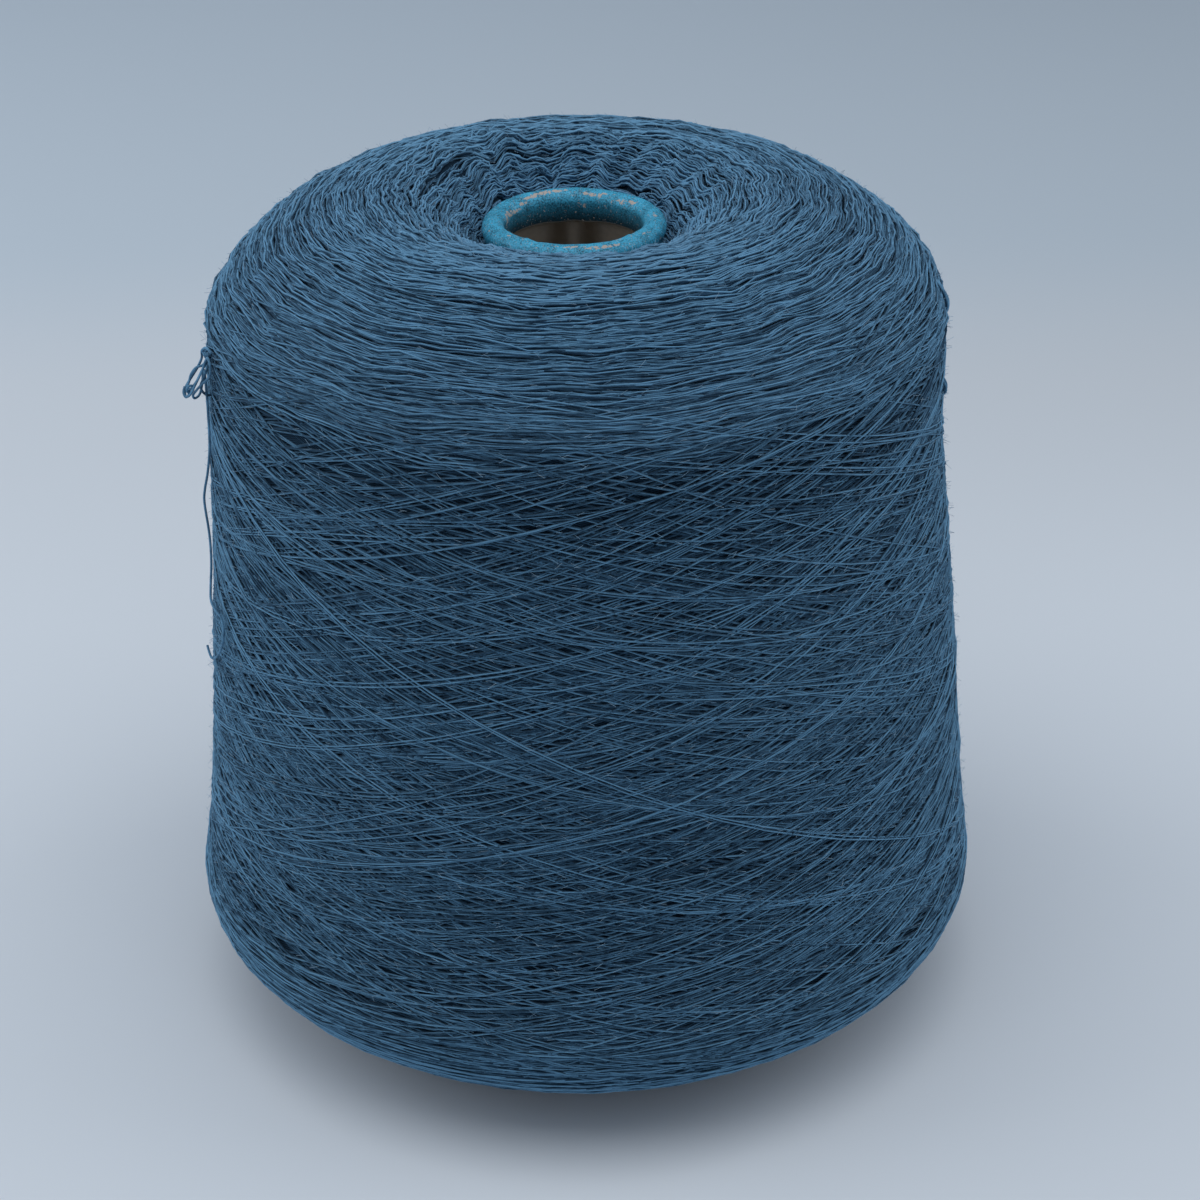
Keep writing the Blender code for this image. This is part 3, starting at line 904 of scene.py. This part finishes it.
def winding_tree(material):
    """Strands on the wound form, from its UV map: across it by the turn, up it by the station."""
    tree, known = new_tree(f"winding_{material.name}", WINDING_COUNTS, WINDING_SIZES)
    line = add(tree, "GeometryNodeCurvePrimitiveLine")
    line = add(tree, "GeometryNodeResampleCurve", {"Curve": line, "Count": known["Points"]})
    copies = {"Geometry": line, "Amount": known["Strands"]}
    strands = add(tree, "GeometryNodeDuplicateElements", copies, domain="SPLINE")
    known["number"] = strands.node.outputs["Duplicate Index"]
    known["along"] = add(tree, "GeometryNodeSplineParameter")
    reckon(tree, known, *BUNDLES)
    for name, step, low, high in EVEN_DRAWS:
        reckon(tree, known, (name, "*+", "bundle", step, "even start"), (name, "FRACT", name))
        reckon(tree, known, (name, "*+", name, high - low, low))
    for place, (name, low, high) in enumerate(DRAWS + OWN_DRAWS):
        drawn_by = "bundle" if place < len(DRAWS) else "number"
        own_seed = ("own seed", "+", "seed", float(place))
        reckon(tree, known, own_seed, (name, "DRAW", low, high, drawn_by, "own seed"))
    reckon(tree, known, *COURSE)
    wave = {"Vector": known["shared place"], "Scale": 1.0, "Detail": 1.5, "Roughness": 0.6}
    wave = add(tree, "ShaderNodeTexNoise", wave).node.outputs["Color"]
    parts = add(tree, "ShaderNodeSeparateXYZ", {"Vector": wave}).node.outputs
    known["wave along"], known["wave up"] = parts["X"], parts["Y"]
    reckon(tree, known, *WAVES_AND_LIFT)
    uv = add(tree, "GeometryNodeInputNamedAttribute", {"Name": "winding"}, data_type="FLOAT_VECTOR")
    for name, kind in (("place", "Position"), ("out", "Normal")):
        fill = {"Mesh": known["Geometry"], "UV Map": uv, "Sample UV": known["spot"]}
        fill["Value"] = add(tree, f"GeometryNodeInput{kind}")
        known[name] = add(tree, "GeometryNodeSampleUVSurface", fill, data_type="FLOAT_VECTOR")
    reckon(tree, known, ("raised", "SCALE", "out", "lift"), ("place", "MOVE", "place", "raised"))
    # Each strand's own small kinks, 5 mm long.
    kink = {"Vector": known["place"], "W": known["own height"], "Scale": 200.0, "Detail": 1.0}
    kink = add(tree, "ShaderNodeTexNoise", kink, noise_dimensions="4D")
    known["kink"] = kink.node.outputs["Color"]
    reckon(
        tree,
        known,
        ("kink", "MOVE BACK", "kink", (0.5, 0.5, 0.5)),
        ("kink", "SCALE", "kink", "own jitter"),
        ("place", "MOVE", "place", "kink"),
    )
    toned = {"Geometry": strands, "Name": "tone", "Value": known["tone"]}
    strands = add(tree, "GeometryNodeStoreNamedAttribute", toned, data_type="FLOAT", domain="POINT")
    moved = {"Geometry": strands, "Position": known["place"]}
    strands = add(tree, "GeometryNodeSetPosition", moved)
    facing = {"Curve": strands, "Normal": known["out"]}
    strands = add(tree, "GeometryNodeSetCurveNormal", facing, mode="FREE")
    cut = {"Resolution": 3, "Radius": known["half thickness"]}
    cut = add(tree, "GeometryNodeCurvePrimitiveCircle", cut)
    # The first of the cut's three corners faces out, and the other two are against the yarn below,
    # where the finish paints shade.
    known["corner"] = add(tree, "GeometryNodeInputIndex")
    reckon(tree, known, ("below", "GREATER_THAN", "corner", 0.5))
    under = {"Geometry": cut, "Name": "under", "Value": known["below"]}
    cut = add(tree, "GeometryNodeStoreNamedAttribute", under, data_type="FLOAT", domain="POINT")
    tubes = {"Curve": strands, "Profile Curve": cut, "Scale": known["slub"], "Fill Caps": True}
    tubes = add(tree, "GeometryNodeCurveToMesh", tubes)
    finish_tree(tree, tubes, material)
    return tree


def wind(name, guide, tree, layer, thickness, seed):
    """One layer of strands over the guide, as a plain mesh."""
    layer = LAYER_USUAL | layer
    first, last = (station_at(row) for row in layer["rows"])
    middle = 0.5 * sum(layer["rows"])
    reach = 0.5 * (station_at(middle + layer["reach"]) - station_at(middle - layer["reach"]))
    low, high = layer["lift"]
    sizes = {"Whole outline": float(STATIONS[-1]), "First": first, "Last": last, "Reach": reach}
    sizes |= {"Low": low, "High": high}
    for key in ("bow", "slant", "stand", "dive", "gap", "crimp", "wander", "jitter"):
        sizes[key.capitalize()] = layer[key]
    values = {title: size * MM for title, size in sizes.items()}
    for key in ("strands", "points", "turns", "together", "calm", "tone"):
        values[key.capitalize()] = layer[key]
    values["Run up"], values["Run down"] = layer["runs"]
    values |= {"Thickness": layer["thick"] * thickness, "Seed": seed}
    ride_as(grown(name, guide, tree, values))


def cone_radius(height):
    """Radius of the paper cone's outside at a height."""
    return CONE_FOOT_RADIUS - height * math.tan(CONE_HALF_ANGLE)


def cone_section():
    """The cut through the cone's wall: radius, height, angle on the bead and bareness of its points.

    They go up the outside, over the bead and down the inside to the foot.
    """
    bead_height = CONE_LENGTH - BEAD_RADIUS
    neck_height = bead_height - NECK_DROP
    lip_height = CONE_LENGTH - TURNED_IN_DEPTH
    lip_radius = BEAD_CIRCLE_RADIUS - BEAD_RADIUS + TURNED_IN_FLARE
    section = [(cone_radius(up), up, -90.0, 1.0) for up in np.linspace(FOOT_ROUND, DIP_FOOT, 7)]
    section += [(cone_radius(up), up, -90.0, 0.0) for up in (DIP_FOOT + 0.1, neck_height)]
    for angle in np.linspace(math.radians(BEAD_START), math.pi, BEAD_STEPS + 1):
        across = BEAD_CIRCLE_RADIUS + BEAD_RADIUS * math.cos(angle)
        up = bead_height + BEAD_RADIUS * math.sin(angle)
        section.append((across, up, math.degrees(angle), 0.0))
    inside = section[-1][:2]
    for share in np.linspace(0.0, 1.0, 8)[1:]:
        radius = inside[0] + share * (lip_radius - inside[0])
        height = inside[1] + share * (lip_height + LIP_ROUND - inside[1])
        section.append((radius, height, 180.0 + (TURNED_IN_ANGLE - 180.0) * share, 0.0))
    for angle in np.radians((30.0, 60.0, 90.0)):
        radius = lip_radius + LIP_ROUND * (1.0 - math.cos(angle))
        section.append((radius, lip_height + LIP_ROUND * (1.0 - math.sin(angle)), LIP_ANGLE, 0.5))
    section.append((cone_radius(lip_height) - CONE_WALL - 0.2, lip_height, RIM_ANGLE, 1.0))
    for height in np.linspace(lip_height, FOOT_ROUND, 9):
        section.append((cone_radius(height) - CONE_WALL, height, INSIDE_ANGLE, 1.0))
    for radius in (CONE_FOOT_RADIUS - CONE_WALL + FOOT_ROUND, CONE_FOOT_RADIUS - FOOT_ROUND):
        section.append((radius, 0.0, INSIDE_ANGLE, 1.0))
    return np.array(section)


def patches(table, angle, section):
    """How much of each patch in the table is at a place on the bead, added up."""
    found = 0.0
    for around, across, *amount, half_length, half_width in table:
        turned = (angle - around + 180.0) % 360.0 - 180.0
        away = (turned / half_length) ** 2 + ((section - across) / half_width) ** 2
        found = found + (amount[0] if amount else 1.0) * np.exp(-away)
    return found


def ride_as(piece):
    """The piece moves with the cone."""
    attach(piece, BODY)


def laid_strand(name, routes):
    """Round strands of yarn, one along each route."""
    curve = bpy.data.curves.new(name, "CURVE")
    curve.dimensions = "3D"
    curve.bevel_depth = 0.5 * LOOSE_END_THICKNESS * MM
    curve.bevel_resolution = 2
    curve.use_fill_caps = True
    for route in routes:
        line = curve.splines.new("POLY")
        line.points.add((len(route) - 1) * ROUTE_STEPS)
        for number, point in enumerate(line.points):
            place = curve_through(route, number / ROUTE_STEPS)
            point.co = (*(place * MM), 1.0)
    curve.materials.append(bpy.data.materials["spun_strand"])
    piece = bpy.data.objects.new(name, curve)
    bpy.context.scene.collection.objects.link(piece)
    return piece


class MakeStage(Operator):
    """Make the floor, the lights and the camera"""

    bl_idname = "yarn.make_stage"
    bl_label = "Stage"

    def execute(self, context):
        settings = context.scene.yarn_stage
        camera = bpy.data.cameras.new("camera")
        camera.lens = CAMERA_LENS
        tilt, pan = CAMERA_TILT, CAMERA_PAN
        level = math.cos(tilt)
        forward = Vector((math.sin(pan) * level, math.cos(pan) * level, -math.sin(tilt)))
        right = Vector((math.cos(pan), -math.sin(pan), 0.0))
        up = right.cross(forward)
        turned = right * math.cos(CAMERA_ROLL) + up * math.sin(CAMERA_ROLL)
        up = up * math.cos(CAMERA_ROLL) - right * math.sin(CAMERA_ROLL)
        holder = bpy.data.objects.new("camera", camera)
        axes = Matrix((turned, up, -forward)).transposed()
        holder.matrix_world = Matrix.Translation(Vector(CAMERA_PLACE) * MM) @ axes.to_4x4()
        context.scene.collection.objects.link(holder)
        context.scene.camera = holder
        bend = np.linspace(*SWEEP_BEND_ANGLES)
        across = SWEEP_BEND_START + SWEEP_BEND_RADIUS * np.sin(bend)
        rise = SWEEP_BEND_RADIUS - SWEEP_BEND_RADIUS * np.cos(bend)
        profile = [(SWEEP_FRONT, 0.0), (SWEEP_BEND_START, 0.0), *zip(across, rise)]
        profile.append((SWEEP_BEND_START + SWEEP_BEND_RADIUS, SWEEP_TOP))
        places = [[(x, y, z) for x in (-SWEEP_HALF_WIDTH, SWEEP_HALF_WIDTH)] for y, z in profile]
        mesh = sheet_mesh("sweep", np.array(places))
        placed("sweep", mesh, bpy.data.materials["paper_sweep"])
        world = bpy.data.worlds.new("room")
        world.use_nodes = True
        background = world.node_tree.nodes["Background"]
        background.inputs["Color"].default_value = linear("#E2EDFC")
        background.inputs["Strength"].default_value = settings.room_light
        context.scene.world = world
        for name, place, size, share in SOFT_LIGHTS:
            light = bpy.data.lights.new(name, "AREA")
            light.shape = "RECTANGLE"
            light.size, light.size_y = size
            power = settings.key_power if name == "overhead" else settings.side_power
            light.energy = share * power
            lamp = bpy.data.objects.new(name, light)
            lamp.location = place
            aim = Vector(LIGHTS_AIM) - lamp.location
            lamp.rotation_euler = aim.to_track_quat("-Z", "Y").to_euler()
            context.scene.collection.objects.link(lamp)
        context.scene.view_settings.view_transform = "Standard"
        return {"FINISHED"}


class MakeLooseEnd(Operator):
    """Lay the loose end down the side of the wound yarn"""

    bl_idname = "yarn.make_loose_end"
    bl_label = "Loose end"

    def execute(self, context):
        piece = laid_strand("loose_strand", (LOOSE_END_ROUTE,))
        ride_as(piece)
        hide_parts("loose_end")
        ride_as(laid_strand("bunched_turns", BUNCH))
        return {"FINISHED"}


class MakePaperCone(Operator):
    """Turn the hollow paper cone, with its rolled and dipped nose"""

    bl_idname = "yarn.make_paper_cone"
    bl_label = "Paper cone"

    def execute(self, context):
        section = cone_section()
        radius, height, bead, bare = (section[:, [k]] for k in range(4))
        angle = np.linspace(0.0, 360.0, CONE_SIDES + 1)[None, :]
        turn = np.radians(angle)
        # The hand-rolled paper is uneven by a tenth of a millimetre or two, and a little nicked.
        roll = sum(
            amount * np.sin(waves * turn + phase + np.radians(bead) * lean)
            for waves, amount, phase, lean in ROLL_WAVES
        )
        shown = ease(height, CONE_LENGTH - 7.0, CONE_LENGTH - 3.0)
        raised = shown * (roll + patches(BUMPS, angle, bead))
        outward = np.radians(np.clip(bead, BEAD_START, 180.0))
        across = radius + raised * np.cos(outward)
        ragged = RAGGED_LIP * np.sin(9.0 * turn + 2.0 * np.sin(4.0 * turn))
        ragged = ragged * ease(bead, RAGGED_ANGLE, LIP_ANGLE)
        up = height + raised * np.sin(outward) + ragged * (bead <= RIM_ANGLE)
        places = np.stack(np.broadcast_arrays(across * np.cos(turn), across * np.sin(turn), up), -1)
        # From the foot end back to the first ring, so that the wall is closed.
        places = np.concatenate((places, places[:1])) * MM
        mesh = sheet_mesh("dipped_cone", places, closed_round=True)
        mesh.validate()
        wear = patches(SCUFFS, angle, bead)
        # Painted shade, by the angle on the bead: on the turned-in paper and beside the yarn.
        grime = sum(most * ease(bead, start, end) for most, start, end in (INNER_PAINTED_SHADE, OUTER_PAINTED_SHADE))
        for name, values in (("wear", wear), ("bare", bare), ("grime", grime)):
            values = values + 0.0 * angle
            values = np.concatenate((values, values[:1]))[:, :-1]
            layer = mesh.attributes.new(name, "FLOAT", "POINT")
            layer.data.foreach_set("value", values.astype(np.float32).ravel())
        close_ends(mesh)
        for face in mesh.polygons:
            corners = [mesh.attributes["bare"].data[vertex].value for vertex in face.vertices]
            face.material_index = int(min(corners) > 0.9)
        finishes = [bpy.data.materials[name] for name in ("dipped_pulp_board", "pulp_board")]
        piece = placed("dipped_cone", mesh, *finishes)
        ride_as(piece)
        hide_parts("paper_cone")
        return {"FINISHED"}


class MakeWoundYarn(Operator):
    """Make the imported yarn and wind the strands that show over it"""

    bl_idname = "yarn.make_wound_yarn"
    bl_label = "Wound yarn"

    def execute(self, context):
        places = wound_surface(*CORE_GRID, CORE_INSET)
        # From the nose end straight back to the foot end, along the paper cone.
        places = np.concatenate((places, places[:1]))
        packed = sheet_mesh("packed_yarn", places, closed_round=True)
        close_ends(packed)
        core = placed("packed_yarn", packed, bpy.data.materials["packed_yarn"])
        ride_as(core)
        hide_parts("yarn_package")
        guide = sheet_mesh("winding_guide", wound_surface(*GUIDE_GRID, GUIDE_INSET))
        tree = winding_tree(bpy.data.materials["spun_yarn"])
        for seed, (name, layer) in enumerate(LAYERS.items(), start=1):
            wind(name, guide, tree, layer, context.scene.yarn.thickness, seed)
        ride_as(laid_strand("slack_turns", SLACK_TURNS))
        return {"FINISHED"}


class MakeFuzz(Operator):
    """Stand loose fibre ends out of the wound yarn"""

    bl_idname = "yarn.make_fuzz"
    bl_label = "Fuzz"

    def execute(self, context):
        yarn = context.scene.yarn
        guide = bpy.data.meshes["winding_guide"]
        tree = winding_tree(bpy.data.materials["loose_fibre"])
        layer = FUZZ | {"strands": yarn.fibres, "stand": yarn.fibre_length / MM}
        wind("fuzz", guide, tree, layer, FIBRE_THICKNESS * MM, FUZZ_SEED)
        return {"FINISHED"}


class YarnPanel(Panel):
    """Lists the pieces of the cone of yarn"""

    bl_idname = "VIEW3D_PT_yarn"
    bl_label = "Cone of yarn"
    bl_space_type = "VIEW_3D"
    bl_region_type = "UI"
    bl_category = "Yarn"

    def draw(self, context):
        for maker in MAKERS:
            self.layout.operator(maker.bl_idname)
        for settings in (context.scene.yarn, context.scene.yarn_cone, context.scene.yarn_stage):
            for name in settings.__annotations__:
                self.layout.prop(settings, name)


MAKERS = (MakeStage, MakeLooseEnd, MakePaperCone, MakeWoundYarn, MakeFuzz)
SETTINGS = (("yarn", YarnSettings), ("yarn_cone", ConeSettings), ("yarn_stage", StageSettings))


def register():
    """Register the settings, the operators and the panel."""
    for name, group in SETTINGS:
        bpy.utils.register_class(group)
        setattr(bpy.types.Scene, name, PointerProperty(type=group))
    for maker in MAKERS:
        bpy.utils.register_class(maker)
    bpy.utils.register_class(YarnPanel)


def unregister():
    """Take out the panel, the operators and the settings."""
    bpy.utils.unregister_class(YarnPanel)
    for maker in reversed(MAKERS):
        bpy.utils.unregister_class(maker)
    for name, group in reversed(SETTINGS):
        delattr(bpy.types.Scene, name)
        bpy.utils.unregister_class(group)


def main():
    """Make every piece in order."""
    register()
    yarn_finish("spun_yarn")
    yarn_finish("spun_strand", tone=LOOSE_END_TONE)
    packed_finish()
    fibre_finish()
    dip_finish()
    board_finish()
    sweep_finish()
    bpy.ops.yarn.make_stage()
    bpy.ops.yarn.make_loose_end()
    bpy.ops.yarn.make_paper_cone()
    bpy.ops.yarn.make_wound_yarn()
    bpy.ops.yarn.make_fuzz()


if __name__ == "__main__":
    main()
